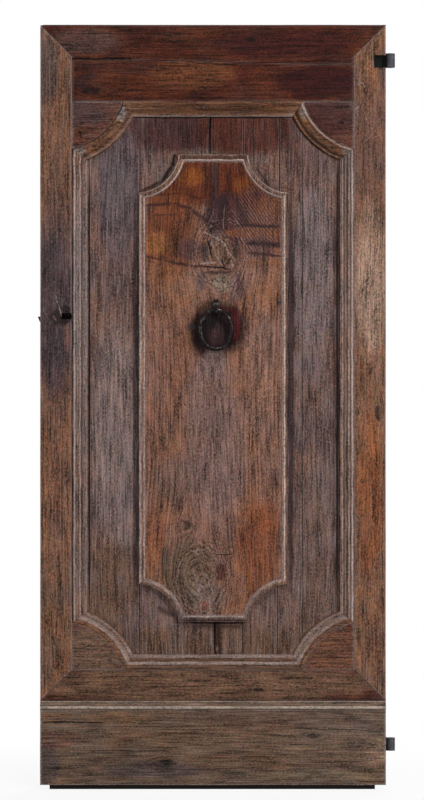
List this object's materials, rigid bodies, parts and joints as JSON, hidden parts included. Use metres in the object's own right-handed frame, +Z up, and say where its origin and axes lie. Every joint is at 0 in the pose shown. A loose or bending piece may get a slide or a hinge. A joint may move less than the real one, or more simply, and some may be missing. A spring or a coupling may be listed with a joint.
{
  "type": "door",
  "caption": "Old plank door leaf with mitred face frame, hollow-cornered raised panel, kick board, forged ring pull, strap hinges and fall-bar latch.",
  "frame": {"origin": "middle of the leaf's bottom edge, at half the thickness of the framed leaf", "axes": "+Z up the leaf, +X to the right seen from the front, -Y out of the front face"},
  "size_m": [0.9433, 0.0971, 2],
  "materials": {
    "core_wood": "aged, waxed hardwood planks",
    "frame_wood": "aged, waxed hardwood",
    "moulding_wood": "aged hardwood, dusty in the hollows",
    "kick_wood": "aged hardwood, greyed by washing",
    "spandrel_wood": "aged, waxed hardwood",
    "panel_wood": "aged, waxed figured hardwood",
    "strip_wood": "aged hardwood, rubbed arrises",
    "ring_iron": "forged, rubbed dark",
    "hinge_iron": "forged, dark grey",
    "latch_iron": "forged, dark",
    "nail_iron": "forged, rust-brown"
  },
  "bodies": {
    "leaf": {"bottom_rail": "frame_wood", "core_plank_1": "core_wood", "core_plank_2": "core_wood", "core_plank_3": "core_wood", "core_plank_4": "core_wood", "core_plank_5": "core_wood", "frame_nails": "nail_iron", "frieze_rail": "frame_wood", "hinge_nails_lower": "nail_iron", "hinge_nails_upper": "nail_iron", "hinge_strap_lower": "hinge_iron", "hinge_strap_upper": "hinge_iron", "kick_board": "kick_wood", "kick_moulding": "moulding_wood", "latch_guide": "latch_iron", "latch_rivet": "latch_iron", "moulding_bottom": "moulding_wood", "moulding_curve_bottom_left": "moulding_wood", "moulding_curve_bottom_right": "moulding_wood", "moulding_curve_top_left": "moulding_wood", "moulding_curve_top_right": "moulding_wood", "moulding_left": "moulding_wood", "moulding_right": "moulding_wood", "moulding_top": "moulding_wood", "panel_strip_bottom": "strip_wood", "panel_strip_curve_bottom_left": "strip_wood", "panel_strip_curve_bottom_right": "strip_wood", "panel_strip_curve_top_left": "strip_wood", "panel_strip_curve_top_right": "strip_wood", "panel_strip_left": "strip_wood", "panel_strip_right": "strip_wood", "panel_strip_top": "strip_wood", "raised_panel": "panel_wood", "ring_staple": "ring_iron", "spandrel_bottom_left": "spandrel_wood", "spandrel_bottom_right": "spandrel_wood", "spandrel_top_left": "spandrel_wood", "spandrel_top_right": "spandrel_wood", "stile_left": "frame_wood", "stile_right": "frame_wood", "top_rail": "frame_wood"},
    "ring": {"ring_pull": "ring_iron"},
    "latch": {"latch_bar": "latch_iron"}
  },
  "joints": [
    {"name": "ring_swing", "type": "hinge", "parent": "leaf", "child": "ring", "pos_m": [0.008, -0.044, 1.24849], "axis": [-1, 0, 0], "range_deg": [-9, 180]},
    {"name": "latch_lift", "type": "hinge", "parent": "leaf", "child": "latch", "pos_m": [-0.3, 0.0258, 1.23], "axis": [0, 1, 0], "range_deg": [0, 6.6]}
  ]
}
